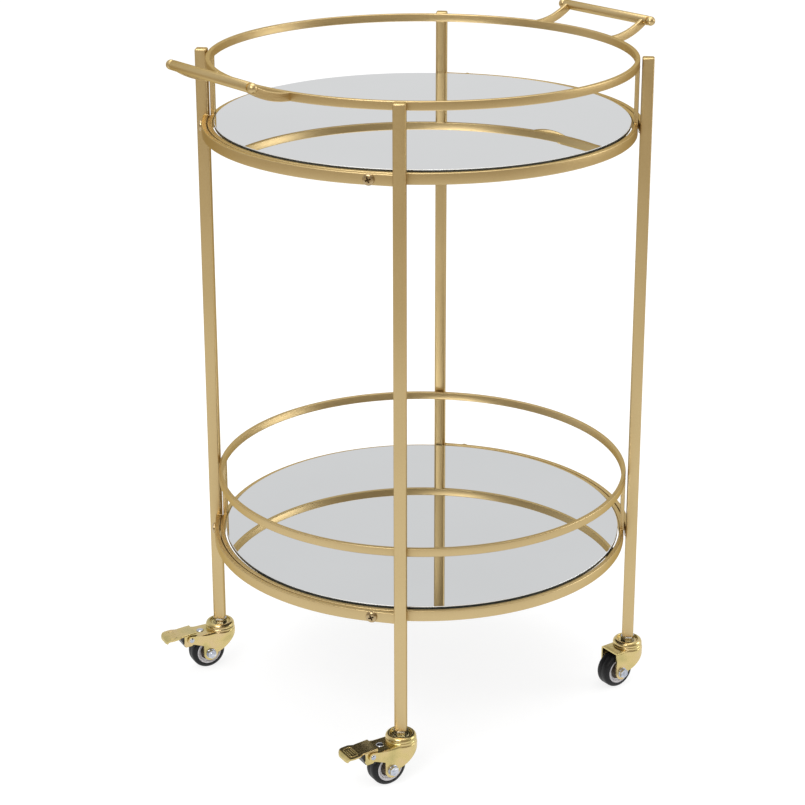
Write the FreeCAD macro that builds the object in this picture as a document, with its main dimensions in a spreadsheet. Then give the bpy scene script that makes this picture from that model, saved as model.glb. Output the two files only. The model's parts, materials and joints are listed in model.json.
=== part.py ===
import FreeCAD, Part
import math
import os
import Sketcher
from FreeCAD import Placement, Rotation, Vector

# Dessert trolley: two round mirrored trays between four square legs on swivel casters.
# Millimetres, +Z up. The origin is on the floor under the middle of the trays, and the
# two handles stand at -X and +X.

doc = FreeCAD.newDocument("dessert_trolley")
dims = doc.addObject("Spreadsheet::Sheet", "dims")
nodes = []

drivingSizes = (
    # legs: square tube, faces square to the radius, 45 degrees off the handle axis
    ("leg_side", 12.0), ("leg_wall", 1.2), ("leg_corner", 1.5), ("leg_cap", 2.0),
    ("leg_stand", 8.0), ("leg_angle", 45.0), ("leg_bottom", 54.0), ("leg_rise", 0.6),
    ("insert_length", 20.0),
    # trays
    ("tray_low", 168.0), ("tray_pitch", 440.0),
    ("ring_radius", 215.0), ("ring_wall", 5.0), ("ring_height", 11.0),
    ("arc_gap", 1.0), ("arc_wall", 5.0), ("screw_angle", 7.5),
    ("gallery_rise", 77.4), ("rail_wall", 4.5), ("rail_height", 8.5), ("post_width", 8.0),
    ("mirror_gap", 1.5), ("mirror_glass", 4.0), ("mirror_proud", 1.8),
    ("tab_width", 24.0), ("tab_reach", 18.0), ("tab_thick", 2.0),
    ("pad_radius", 4.5), ("pad_thick", 0.8), ("pad_inset", 9.0),
    # frame screws
    ("screw_radius", 3.0), ("screw_head_radius", 5.5), ("screw_head_height", 3.0),
    ("screw_end_gap", 0.3),
    # handles
    ("bar_out", 38.0), ("bar_rise", 15.55), ("bar_radius", 5.0), ("bar_length", 125.0),
    ("ball_radius", 4.9), ("ball_stand", 3.5),
    ("bracket_wall", 4.5), ("bracket_depth", 8.5), ("bracket_end", 5.5),
    ("bracket_inset", 10.0),
    # wheels and axles
    ("wheel_radius", 19.0), ("wheel_width", 17.0), ("tyre_round", 4.4),
    ("rim_radius", 14.0), ("rim_lip", 2.6), ("rim_width", 16.0), ("web_width", 5.0),
    ("rim_step", 1.8), ("rim_step_depth", 1.8),
    ("hub_radius", 5.5), ("hub_gap", 0.2), ("axle_radius", 3.0), ("running_gap", 0.05),
    ("washer_radius", 5.6), ("washer_thick", 0.8), ("bolt_across", 9.0), ("bolt_height", 2.8),
    # stamped forks
    ("trail", 17.0), ("fork_half", 13.0), ("fork_wall", 1.8), ("fork_top", 43.0),
    ("fork_bend", 2.4), ("toe_radius", 8.0), ("heel_drop", 5.0), ("heel_radius", 16.2),
    ("heel_blend", 4.0),
    # swivel bearing: ball race between fork and cup
    ("race_radius", 11.5), ("race_rise", 1.9), ("race_gap", 0.4), ("race_inner", 8.0),
    ("race_inset", 0.6), ("race_edge", 0.5),
    ("ball_size", 1.6), ("ball_gap", 0.05),
    ("cup_radius", 15.6), ("cup_height", 4.9), ("cup_dish", 9.6), ("cup_floor", 1.4),
    ("cup_edge", 0.8),
    ("stem_radius", 5.0), ("thread_radius", 3.0), ("thread_length", 18.0),
    ("hex_across", 12.7), ("stem_head_radius", 7.5), ("stem_head_height", 1.6),
    ("end_float", 0.1),
    # brake of the two casters under the -X handle
    ("plate_front", 31.6), ("pivot_forward", 21.8), ("pivot_rise", 20.7), ("ear_radius", 4.5),
    ("pin_radius", 1.9), ("rivet_head", 2.8), ("rivet_height", 1.2),
    ("top_rivet_forward", 24.0), ("top_rivet_radius", 1.8), ("top_rivet_head", 4.2),
    ("leaf_back", 9.0), ("leaf_front", 32.3), ("leaf_width", 14.0), ("leaf_thick", 0.8),
    ("pedal_tilt", 4.0), ("pedal_thick", 1.6), ("pedal_gap", 0.3), ("pedal_level", 5.0),
    ("pedal_back", 6.6), ("saddle_front", 7.5), ("saddle_fold", 1.2),
    ("neck_end", 10.0), ("neck_half", 9.9), ("neck_blend", 5.0),
    ("paddle_start", 14.5), ("paddle_end", 28.0), ("paddle_half", 12.5),
    ("paddle_shoulder", 3.5), ("paddle_corner", 7.5), ("paddle_lip", 4.6),
    ("flange_front", 8.5), ("flange_drop", 7.5), ("flange_heel", 4.5),
    ("shoe_front", 10.0), ("shoe_toe", 7.5), ("shoe_drop", 10.7), ("shoe_heel", 3.5),
    ("shoe_back", 5.6), ("shoe_waist", 6.0),
    # which way each fork trails, as an angle from +X
    ("front_trail_angle", 172.0), ("left_trail_angle", 169.0),
    ("right_trail_angle", 176.0), ("back_trail_angle", -176.0),
)
tabCount = 6
ballCount = 6
hexSides = 6
shoulderTurns = (0, 30, 60, 90)
fullTurn = 360.0
quarterTurn = "90"
millimetre = 1.0
hair = 0.1

for row, (word, value) in enumerate(drivingSizes, 1):
    dims.set("A%d" % row, word)
    dims.set("B%d" % row, str(value))
    dims.setAlias("B%d" % row, word)
doc.recompute()

# Formulas that several pieces share.
legInner = "(dims.leg_side - 2 * dims.leg_wall)"
legRadius = "(dims.ring_radius + dims.leg_stand)"
railTop = "(dims.tray_low + dims.tray_pitch + dims.gallery_rise)"
legTop = "(%s + dims.leg_rise)" % railTop
ringInner = "(dims.ring_radius - dims.ring_wall)"
railInner = "(dims.ring_radius - dims.rail_wall)"
arcInner = "(dims.ring_radius + dims.arc_gap)"
arcOuter = "(dims.ring_radius + dims.arc_gap + dims.arc_wall)"
bendHalf = "(dims.leg_angle - dims.screw_angle)"
railMiddle = "(%s - dims.rail_height / 2)" % railTop
barLevel = "(%s + dims.bar_rise)" % railMiddle
barReach = "(dims.ring_radius + dims.bar_out)"
bracketOffset = "(dims.bar_length / 2 - dims.bracket_end)"
mirrorRadius = "(dims.ring_radius - dims.ring_wall - dims.mirror_gap)"
cheekInner = "(dims.fork_half - dims.fork_wall)"
plateUnder = "(dims.fork_top - dims.fork_wall)"
raceTop = "(dims.fork_top + dims.race_rise)"
cupLip = "(dims.fork_top + dims.race_rise + dims.race_gap)"
cupTop = "(dims.fork_top + dims.race_rise + dims.race_gap + dims.cup_height)"
ballLevel = "(%s + dims.race_gap / 2)" % raceTop
groove = "((dims.ball_size + dims.ball_gap) * sqrt(2) - dims.race_gap / 2)"
raceRoof = "(%s + dims.ball_size + dims.ball_gap)" % ballLevel
cupFloorTop = "(%s + dims.cup_floor)" % raceRoof
pivotX = "(dims.trail + dims.pivot_forward)"
pivotZ = "(dims.wheel_radius + dims.pivot_rise)"
flangeHalf = "(dims.fork_half - dims.fork_wall - dims.pedal_gap)"

trayBase = {"lower": "dims.tray_low", "upper": "(dims.tray_low + dims.tray_pitch)"}
halfTurn = 180
endAngle = {"left": "%d" % halfTurn, "right": "0"}
corners = {
    "front": {"angle": "(dims.leg_angle - %d)" % halfTurn, "heading": "dims.front_trail_angle"},
    "left": {"angle": "(%d - dims.leg_angle)" % halfTurn, "heading": "dims.left_trail_angle"},
    "right": {"angle": "(-dims.leg_angle)", "heading": "dims.right_trail_angle"},
    "back": {"angle": "dims.leg_angle", "heading": "dims.back_trail_angle"},
}
brakedCorners = ("front", "left")


def bind(item, formulas):
    for path, formula in formulas.items():
        item.setExpression(path, formula)
    return item


def place(item, x=None, y=None, z=None, yaw=None, pitch=None, roll=None):
    wanted = {"Base.x": x, "Base.y": y, "Base.z": z,
              "Rotation.Yaw": yaw, "Rotation.Pitch": pitch, "Rotation.Roll": roll}
    return bind(item, {"Placement." + k: v for k, v in wanted.items() if v is not None})


def drum(name, radius, height, **where):
    item = doc.addObject("Part::Cylinder", name)
    bind(item, {"Radius": radius, "Height": height})
    return place(item, **where)


def block(name, length, width, height, x, z, **where):
    # a box centred on the XZ plane
    item = doc.addObject("Part::Box", name)
    bind(item, {"Length": length, "Width": width, "Height": height})
    return place(item, x=x, y="-(%s) / 2" % width, z=z, **where)


def ball(name, radius, **where):
    item = doc.addObject("Part::Sphere", name)
    bind(item, {"Radius": radius})
    return place(item, **where)


def hexagon(name, across, height, **where):
    item = doc.addObject("Part::Prism", name)
    item.Polygon = hexSides
    bind(item, {"Circumradius": "%s / sqrt(3)" % across, "Height": height})
    return place(item, **where)


def cut(name, base, tool):
    item = doc.addObject("Part::Cut", name)
    item.Base = base
    item.Tool = tool
    return item


def fuse(name, *pieces):
    item = doc.addObject("Part::MultiFuse", name)
    item.Shapes = list(pieces)
    item.Refine = True
    return item


def common(name, *pieces):
    item = doc.addObject("Part::MultiCommon", name)
    item.Shapes = list(pieces)
    return item


def group(name, *pieces):
    item = doc.addObject("Part::Compound", name)
    item.Links = list(pieces)
    return item


def outline(sketch, points):
    # a closed polygon whose corners are held at formulas from the sketch's origin
    count = len(points)
    turns = [math.tau * k / count for k in range(count)]
    start = [Vector(count * math.cos(turn), count * math.sin(turn), 0) for turn in turns]
    for k in range(count):
        sketch.addGeometry(Part.LineSegment(start[k], start[(k + 1) % count]))
    for k in range(count):
        sketch.addConstraint(Sketcher.Constraint("Coincident", k, 2, (k + 1) % count, 1))
    for k, (across, up) in enumerate(points):
        for kind, formula, value in (("DistanceX", across, start[k].x), ("DistanceY", up, start[k].y)):
            number = sketch.addConstraint(Sketcher.Constraint(kind, -1, 1, k, 1, value))
            sketch.setExpression("Constraints[%d]" % number, formula)


def bodySketch(body, role, name, points, offset=None):
    plane = next(f for f in body.Origin.OriginFeatures if f.Role == role)
    sketch = body.newObject("Sketcher::SketchObject", name)
    sketch.AttachmentSupport = [(plane, "")]
    sketch.MapMode = "FlatFace"
    if offset is not None:
        sketch.setExpression("AttachmentOffset.Base.z", offset)
    outline(sketch, points)
    return sketch


def turned(name, points, plane="XZ_Plane", axis="V_Axis"):
    # a body turned from a half section about a sketch axis
    body = doc.addObject("PartDesign::Body", name)
    sketch = bodySketch(body, plane, name + "_section", points)
    turn = body.newObject("PartDesign::Revolution", name + "_turn")
    turn.Profile = sketch
    turn.ReferenceAxis = (sketch, [axis])
    turn.Angle = fullTurn
    return body


def sidePrism(name, points, width):
    # a side view in the XZ plane, as thick as width and centred on it
    sketch = doc.addObject("Sketcher::SketchObject", name + "_view")
    sketch.Placement = Placement(Vector(), Rotation(Vector(1, 0, 0), 90))
    outline(sketch, points)
    prism = doc.addObject("Part::Extrusion", name)
    prism.Base = sketch
    prism.DirMode = "Custom"
    prism.Dir = Vector(0, 1, 0)
    prism.Solid = True
    prism.Symmetric = True
    bind(prism, {"LengthFwd": width})
    return prism


def roundEdges(name, base, radius, chosen):
    # a fillet on the edges of base that chosen accepts
    doc.recompute()
    item = doc.addObject("Part::Fillet", name)
    item.Base = base
    item.Edges = [(k, radius, radius) for k, edge in enumerate(base.Shape.Edges, 1) if chosen(edge)]
    return item


def node(item, name):
    item.Label = name
    nodes.append(item)
    return item


def atLeg(item, corner):
    return place(item, yaw=corners[corner]["angle"])


def atCaster(item, corner, forward="0", up="0", pitch=None):
    # from the stem's own frame, where the fork trails along +X, to its leg
    angle = corners[corner]["angle"]
    heading = corners[corner]["heading"]
    return place(item, x="%s * cos(%s) + (%s) * cos(%s)" % (legRadius, angle, forward, heading),
                 y="%s * sin(%s) + (%s) * sin(%s)" % (legRadius, angle, forward, heading),
                 z=up, yaw=heading, pitch=pitch)


def sheet(word):
    return float(dims.get(word))


# Legs.

def squareCorners(side):
    half = "%s / 2" % side
    middle = legRadius
    return [("%s - %s" % (middle, half), "-%s" % half), ("%s + %s" % (middle, half), "-%s" % half),
            ("%s + %s" % (middle, half), half), ("%s - %s" % (middle, half), half)]


def makeLeg(corner):
    name = "leg_" + corner
    body = doc.addObject("PartDesign::Body", name)
    outer = bodySketch(body, "XY_Plane", name + "_outer", squareCorners("dims.leg_side"), "dims.leg_bottom")
    tube = body.newObject("PartDesign::Pad", name + "_tube")
    tube.Profile = outer
    bind(tube, {"Length": legTop + " - dims.leg_bottom"})
    doc.recompute()
    top = tube.Shape.BoundBox.ZMax
    names = []
    for k, edge in enumerate(tube.Shape.Edges, 1):
        upright = edge.BoundBox.ZLength > sheet("leg_side")
        if upright or edge.BoundBox.ZMin > top - millimetre:
            names.append("Edge%d" % k)
    softened = body.newObject("PartDesign::Fillet", name + "_corners")
    softened.Base = (tube, names)
    bind(softened, {"Radius": "dims.leg_corner"})
    inner = bodySketch(body, "XY_Plane", name + "_inner", squareCorners(legInner), "dims.leg_bottom")
    bore = body.newObject("PartDesign::Pocket", name + "_bore")
    bore.Profile = inner
    bore.Reversed = True
    bind(bore, {"Length": legTop + " - dims.leg_bottom - dims.leg_cap"})
    node(atLeg(body, corner), name)


def makeInserts():
    plugs = []
    for corner in corners:
        plug = block("plug_" + corner, legInner, legInner, "dims.insert_length",
                     "%s - %s / 2" % (legRadius, legInner), "dims.leg_bottom")
        bore = drum("plug_bore_" + corner, "dims.thread_radius", "dims.insert_length",
                    x=legRadius, z="dims.leg_bottom")
        plugs.append(atLeg(cut("insert_" + corner, plug, bore), corner))
    node(group("leg_inserts", *plugs), "leg_inserts")


# Trays.

def hoop(name, outer, inner, bottom, height):
    return cut(name, drum(name + "_outer", outer, height, z=bottom),
               drum(name + "_inner", inner, height, z=bottom))


def screwAngles(end):
    angle = bendHalf if end == "right" else "(%d - %s)" % (halfTurn, bendHalf)
    return {"a": angle, "b": "-" + angle}


def screwMiddle(level):
    return "%s + dims.ring_height / 2" % trayBase[level]


def radialDrum(name, radius, start, length, level, angle):
    return drum(name, radius, length, x="(%s) * cos(%s)" % (start, angle),
                y="(%s) * sin(%s)" % (start, angle), z=screwMiddle(level), yaw=angle, pitch=quarterTurn)


def screwHoles(name, level, ends):
    holes = []
    for end in ends:
        for side, angle in screwAngles(end).items():
            holes.append(radialDrum("%s_hole_%s_%s" % (name, end, side), "dims.screw_radius",
                                    ringInner + " - dims.ring_wall",
                                    "2 * dims.ring_wall + 2 * dims.arc_wall", level, angle))
    return fuse(name + "_holes", *holes)


def makeTrayRing(level):
    name = level + "_tray_ring"
    ring = hoop(name + "_hoop", "dims.ring_radius", ringInner, trayBase[level], "dims.ring_height")
    node(cut(name, ring, screwHoles(name, level, endAngle)), name)


def makeGallery(level):
    railBottom = "%s + dims.gallery_rise - dims.rail_height" % trayBase[level]
    ringTop = "%s + dims.ring_height" % trayBase[level]
    name = level + "_gallery_rail"
    node(hoop(name, "dims.ring_radius", railInner, railBottom, "dims.rail_height"), name)
    name = level + "_gallery_posts"
    height = "dims.gallery_rise - dims.rail_height - dims.ring_height"
    stock = hoop(name + "_stock", "dims.ring_radius", railInner, ringTop, height)
    bars = []
    for corner in corners:
        bar = block(name + "_" + corner, "2 * dims.ring_wall", "dims.post_width", height,
                    ringInner, ringTop)
        bars.append(atLeg(group(name + "_at_" + corner, bar), corner))
    node(common(name, stock, fuse(name + "_bars", *bars)), name)


def makeArc(level, end):
    # a quarter hoop with straight ends, cut off against the legs' side faces
    name = "%s_arc_%s" % (level, end)
    base = trayBase[level]
    turn = {"Angle": "2 * " + bendHalf}
    outer = bind(drum(name + "_outer", arcOuter, "dims.ring_height", z=base, yaw="-" + bendHalf), turn)
    inner = drum(name + "_inner", arcInner, "dims.ring_height", z=base)
    run = "%s * tan(dims.screw_angle)" % arcInner
    pieces = [cut(name + "_bend", outer, inner)]
    legBoxes = []
    for side, sign in (("a", ""), ("b", "-")):
        straight = doc.addObject("Part::Box", "%s_run_%s" % (name, side))
        bind(straight, {"Length": "dims.arc_wall", "Width": run, "Height": "dims.ring_height"})
        away = "0" if side == "a" else "-" + run
        place(straight, x=arcInner, y=away, z=base)
        pieces.append(place(group("%s_end_%s" % (name, side), straight), yaw=sign + bendHalf))
        leg = block("%s_leg_%s" % (name, side), "dims.leg_side", "dims.leg_side", "dims.ring_height",
                    legRadius + " - dims.leg_side / 2", base)
        legBoxes.append(place(group("%s_stop_%s" % (name, side), leg), yaw=sign + "dims.leg_angle"))
    whole = cut(name + "_trim", fuse(name + "_stock", *pieces), fuse(name + "_legs", *legBoxes))
    bar = place(group(name + "_bar", whole), yaw=endAngle[end])
    node(cut(name, bar, screwHoles(name, level, [end])), name)


def makeScrews(level):
    screws = []
    for end in endAngle:
        for side, angle in screwAngles(end).items():
            label = "%s_screw_%s_%s" % (level, end, side)
            start = ringInner + " + dims.screw_end_gap"
            shank = radialDrum(label + "_shank", "dims.screw_radius", start,
                               "%s - %s - dims.screw_end_gap" % (arcOuter, ringInner), level, angle)
            head = radialDrum(label + "_head", "dims.screw_head_radius", arcOuter,
                              "dims.screw_head_height", level, angle)
            screws.append(fuse(label, shank, head))
    node(group(level + "_frame_screws", *screws), level + "_frame_screws")


def makeMirror(level):
    bottom = "%s + dims.ring_height + dims.mirror_proud - dims.mirror_glass" % trayBase[level]
    node(drum(level + "_mirror", mirrorRadius, "dims.mirror_glass", z=bottom), level + "_mirror")
    padBottom = bottom + " - dims.pad_thick"
    tabs = []
    pads = []
    for k in range(tabCount):
        angle = "%g" % (fullTurn / tabCount * k - fullTurn / 2)
        tab = block("%s_tab_%d" % (level, k), "dims.tab_reach", "dims.tab_width", "dims.tab_thick",
                    ringInner + " - dims.tab_reach", padBottom + " - dims.tab_thick")
        hold = place(group("%s_tab_turn_%d" % (level, k), tab), yaw=angle)
        tabs.append(hold)
        reach = "(%s - dims.pad_inset)" % ringInner
        pads.append(drum("%s_pad_%d" % (level, k), "dims.pad_radius", "dims.pad_thick",
                         x="%s * cos(%s)" % (reach, angle), y="%s * sin(%s)" % (reach, angle), z=padBottom))
    bore = drum(level + "_tab_bore", ringInner, "dims.tab_thick", z=padBottom + " - dims.tab_thick")
    node(common(level + "_mirror_tabs", group(level + "_tab_set", *tabs), bore), level + "_mirror_tabs")
    return pads


# Handles.

def makeHandle(end):
    middle = "%s * cos(%s)" % (barReach, endAngle[end])
    bar = drum(end + "_handle_bar", "dims.bar_radius", "dims.bar_length",
               x=middle, y="dims.bar_length / 2", z=barLevel, roll=quarterTurn)
    node(bar, end + "_handle_bar")
    balls = []
    for side, sign in (("near", "-"), ("far", "")):
        stand = "(dims.bar_length / 2 + dims.ball_stand)"
        bead = ball("%s_bead_%s" % (end, side), "dims.ball_radius", x=middle, y=sign + stand, z=barLevel)
        balls.append(cut("%s_ball_%s" % (end, side), bead, bar))
    node(group(end + "_handle_balls", *balls), end + "_handle_balls")
    node(makeBrackets(end), end + "_handle_brackets")


def makeBrackets(end):
    # strips on edge that leave the rail level and curve up to the bar along one arc
    root = "(dims.ring_radius - dims.bracket_inset)"
    run = "(dims.bar_out + dims.bracket_inset)"
    sweep = "(2 * atan(dims.bar_rise / %s))" % run
    bend = "(%s / sin(%s))" % (run, sweep)
    rail = drum(end + "_rail_tool", "dims.ring_radius", "2 * " + barLevel)
    bar = drum(end + "_bar_tool", "dims.bar_radius", "dims.bar_length", x=barReach,
               y="dims.bar_length / 2", z=barLevel, roll=quarterTurn)
    strips = []
    for side, sign in (("near", "-"), ("far", "")):
        label = "%s_bracket_%s" % (end, side)
        where = {"x": root, "y": "%s%s + dims.bracket_wall / 2" % (sign, bracketOffset),
                 "z": "%s + %s" % (railMiddle, bend), "roll": quarterTurn, "pitch": quarterTurn}
        outer = drum(label + "_outer", bend + " + dims.bracket_depth / 2", "dims.bracket_wall", **where)
        bind(outer, {"Angle": sweep})
        inner = drum(label + "_inner", bend + " - dims.bracket_depth / 2", "dims.bracket_wall", **where)
        strips.append(cut(label + "_strip", outer, inner))
    ends = fuse(end + "_bracket_ends", rail, bar)
    pair = cut(end + "_bracket_pair", fuse(end + "_strips", *strips), ends)
    return place(group(end + "_handle_brackets", pair), yaw=endAngle[end])


# Casters.

def makeStem(corner):
    # upwards: head, shank through fork and cup, hex collar on the cup's floor, thread in the leg
    name = "caster_stem_" + corner
    head = drum(name + "_head", "dims.stem_head_radius", "dims.stem_head_height",
                z=plateUnder + " - dims.end_float - dims.stem_head_height")
    shank = drum(name + "_shank", "dims.stem_radius",
                 "%s - %s + dims.end_float" % (cupFloorTop, plateUnder), z=plateUnder + " - dims.end_float")
    collar = hexagon(name + "_hex", "dims.hex_across", "dims.leg_bottom - " + cupFloorTop, z=cupFloorTop)
    thread = drum(name + "_thread", "dims.thread_radius", "dims.thread_length", z="dims.leg_bottom")
    return atCaster(fuse(name, thread, collar, shank, head), corner)


def makeCup(corner):
    # a dished floor round the stem inside a rolled rim
    name = "caster_cup_" + corner
    tube = "(dims.cup_height / 2)"
    middle = "(dims.cup_radius - %s)" % tube
    dish = turned(name + "_dish", [
        ("dims.stem_radius", raceRoof), ("dims.race_radius + " + groove, raceRoof),
        ("dims.cup_radius - dims.cup_edge", cupLip), ("dims.cup_radius", cupLip),
        ("dims.cup_radius", "%s + %s" % (cupLip, tube)), (middle, "%s + %s" % (cupLip, tube)),
        ("dims.cup_dish", cupFloorTop), ("dims.stem_radius", cupFloorTop)])
    rim = doc.addObject("Part::Torus", name + "_rim")
    bind(rim, {"Radius1": middle, "Radius2": tube})
    place(rim, z="%s + %s" % (cupLip, tube))
    room = turned(name + "_race", [
        ("dims.race_radius - " + groove, cupLip), ("dims.race_radius - " + groove, raceRoof),
        ("dims.race_radius + " + groove, raceRoof), ("dims.cup_radius - dims.cup_edge", cupLip)])
    node(atCaster(cut(name, fuse(name + "_stock", dish, rim), room), corner), name)


def makeBalls():
    balls = []
    for corner in corners:
        for k in range(ballCount):
            angle = "%g" % (fullTurn / ballCount * k)
            bead = ball("ball_%s_%d" % (corner, k), "dims.ball_size", z=ballLevel,
                        x="dims.race_radius * cos(%s)" % angle, y="dims.race_radius * sin(%s)" % angle)
            balls.append(atCaster(group("ball_at_%s_%d" % (corner, k), bead), corner))
    node(group("swivel_balls", *balls), "swivel_balls")


def planBlock(name, heel, half, front, bottom, top):
    # round about the stem, straight sided ahead of it
    height = "%s - (%s)" % (top, bottom)
    return fuse(name, drum(name + "_heel", heel, height, z=bottom),
                block(name + "_sides", front, "2 * " + half, height, "0", bottom))


def forkPlan(name, reach):
    # the outside of the fork from above, its sides blended into the round heel
    plan = planBlock(name + "_plan", "dims.heel_radius", "dims.fork_half", reach, "0", "dims.leg_bottom")
    half = sheet("fork_half")

    def innerCorner(edge):
        box = edge.BoundBox
        upright = box.XLength < hair and box.YLength < hair
        return upright and hair < box.XMin < sheet("heel_radius") and abs(abs(box.YMin) - half) < hair
    return roundEdges(name + "_blend", plan, sheet("heel_blend"), innerCorner)


def forkSide(name, braked):
    # the outside of the fork from the side
    toe = "dims.trail + dims.toe_radius"
    width = "2 * dims.heel_radius"
    rear = [("dims.trail - dims.toe_radius", "dims.wheel_radius"),
            ("-dims.heel_radius", "dims.fork_top - dims.heel_drop"), ("-dims.heel_radius", "dims.fork_top")]
    front = [(toe, "dims.fork_top")]
    if braked:
        front = [("dims.plate_front", "dims.fork_top"), (pivotX, pivotZ + " + dims.ear_radius"),
                 (pivotX, pivotZ + " - dims.ear_radius"),
                 (toe, pivotZ + " - dims.ear_radius - dims.pivot_forward / 4")]
    across = {"y": "dims.heel_radius", "roll": quarterTurn}
    rounds = [sidePrism(name + "_cheek", rear + front + [(toe, "dims.wheel_radius")], width),
              drum(name + "_toe", "dims.toe_radius", width,
                   x="dims.trail", z="dims.wheel_radius", **across)]
    if braked:
        rounds.append(drum(name + "_ear", "dims.ear_radius", width, x=pivotX, z=pivotZ, **across))
    return fuse(name + "_side", *rounds)


def forkHollow(name, reach, braked):
    # the room for the wheel and the holes for stem, axle, pin and rivet
    across = {"y": "dims.heel_radius", "roll": quarterTurn}
    width = "2 * dims.heel_radius"
    inner = "(dims.heel_radius - dims.fork_wall)"
    hollow = [planBlock(name + "_room", inner, cheekInner, reach, "0", plateUnder),
              drum(name + "_stem_hole", "dims.stem_radius + dims.running_gap", "dims.leg_bottom"),
              drum(name + "_axle_hole", "dims.axle_radius", width,
                   x="dims.trail", z="dims.wheel_radius", **across)]
    if braked:
        hollow += [block(name + "_slot", reach, "2 * " + cheekInner, "dims.leg_bottom",
                         "dims.plate_front", plateUnder),
                   drum(name + "_pin_hole", "dims.pin_radius", width, x=pivotX, z=pivotZ, **across),
                   drum(name + "_rivet_hole", "dims.top_rivet_radius", "dims.leg_bottom",
                        x="dims.top_rivet_forward")]
    return fuse(name + "_hollow", *hollow)


def makeFork(corner):
    name = "caster_fork_" + corner
    braked = corner in brakedCorners
    reach = "%s + 2 * dims.ear_radius" % pivotX
    blank = common(name + "_blank", forkSide(name, braked), forkPlan(name, reach))
    bend = sheet("fork_bend")
    top = sheet("fork_top")

    def foldEdge(edge):
        box = edge.BoundBox
        return abs(box.ZMin - top) < hair and box.ZLength < hair and box.XLength > hair
    bent = roundEdges(name + "_bent", blank, bend, foldEdge)
    shell = cut(name + "_shell", bent, forkHollow(name, reach, braked))
    node(atCaster(fuse(name, shell, makeRace(name)), corner), name)


def makeRace(name):
    # the raised ring that carries the balls in a V groove
    base = "(dims.fork_top - dims.fork_wall * 3 / 4)"
    outer = "(dims.heel_radius - dims.race_inset)"
    return turned(name + "_race", [
        ("dims.race_inner", base), (outer, base), (outer, raceTop + " - dims.race_edge"),
        (outer + " - dims.race_edge", raceTop),
        ("dims.race_radius + " + groove, raceTop), ("dims.race_radius", raceTop + " - " + groove),
        ("dims.race_radius - " + groove, raceTop), ("dims.race_inner", raceTop)])


def makeWheel(corner):
    shoulder = [("(dims.wheel_width / 2 - dims.tyre_round * (1 - cos(%d)))" % turn,
                 "(dims.wheel_radius - dims.tyre_round * (1 - sin(%d)))" % turn) for turn in shoulderTurns]
    rightSide = [("dims.wheel_width / 2", "dims.rim_radius")] + shoulder
    leftSide = [("-" + across, up) for across, up in reversed(rightSide)]
    tyre = turned("tyre_" + corner, rightSide + leftSide, "YZ_Plane", "H_Axis")
    node(atCaster(tyre, corner, "dims.trail", "dims.wheel_radius"), "tyre_" + corner)
    hub = "(%s - dims.hub_gap)" % cheekInner
    lip = "(dims.rim_radius - dims.rim_lip)"
    step = "(dims.rim_width / 2 - dims.rim_step_depth)"
    bore = "dims.axle_radius + dims.running_gap"
    rightHalf = [(hub, bore), (hub, "dims.hub_radius"), ("dims.web_width / 2", "dims.hub_radius"),
                 ("dims.web_width / 2", lip + " - dims.rim_step"), (step, lip + " - dims.rim_step"),
                 (step, lip), ("dims.rim_width / 2", lip),
                 ("dims.rim_width / 2", "dims.rim_radius")]
    leftHalf = [("-" + across, up) for across, up in reversed(rightHalf)]
    rim = turned("rim_" + corner, rightHalf + leftHalf, "YZ_Plane", "H_Axis")
    node(atCaster(rim, corner, "dims.trail", "dims.wheel_radius"), "rim_" + corner)


def makeAxleBolt(corner):
    name = "axle_bolt_" + corner
    where = {"x": "dims.trail", "z": "dims.wheel_radius", "roll": quarterTurn}
    stack = "dims.fork_half + dims.washer_thick"
    pieces = [drum(name + "_shank", "dims.axle_radius", "2 * (%s)" % stack, y=stack, **where),
              drum(name + "_washer_a", "dims.washer_radius", "dims.washer_thick", y=stack, **where),
              drum(name + "_washer_b", "dims.washer_radius", "dims.washer_thick",
                   y="-dims.fork_half", **where),
              hexagon(name + "_head", "dims.bolt_across", "dims.bolt_height",
                      y=stack + " + dims.bolt_height", **where),
              hexagon(name + "_nut", "dims.bolt_across", "dims.bolt_height", y="-(%s)" % stack, **where)]
    node(atCaster(fuse(name, *pieces), corner), name)


def makeBrakeRivets(corner):
    name = "brake_rivets_" + corner
    where = {"x": pivotX, "z": pivotZ, "roll": quarterTurn}
    edge = "dims.fork_half"
    pin = fuse(name + "_pin",
               drum(name + "_pin_shank", "dims.pin_radius", "2 * " + edge, y=edge, **where),
               drum(name + "_pin_head", "dims.rivet_head", "dims.rivet_height",
                    y=edge + " + dims.rivet_height", **where),
               drum(name + "_pin_tail", "dims.rivet_head", "dims.rivet_height", y="-" + edge, **where))
    depth = "dims.fork_wall + dims.leaf_thick"
    top = fuse(name + "_top",
               drum(name + "_top_shank", "dims.top_rivet_radius", depth, x="dims.top_rivet_forward",
                    z="dims.fork_top - (%s)" % depth),
               drum(name + "_top_head", "dims.top_rivet_head", "dims.rivet_height",
                    x="dims.top_rivet_forward", z="dims.fork_top"),
               drum(name + "_top_tail", "dims.rivet_head", "dims.rivet_height / 2",
                    x="dims.top_rivet_forward", z="dims.fork_top - (%s) - dims.rivet_height / 2" % depth))
    node(atCaster(group(name, pin, top), corner), name)


def makeLeaf(corner):
    name = "brake_leaf_" + corner
    strip = block(name + "_strip", "dims.leaf_front - dims.leaf_back", "dims.leaf_width",
                  "dims.leaf_thick", "dims.leaf_back", plateUnder + " - dims.leaf_thick")
    hole = drum(name + "_hole", "dims.top_rivet_radius", "dims.leg_bottom", x="dims.top_rivet_forward")
    node(atCaster(cut(name, strip, hole), corner), name)


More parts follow.
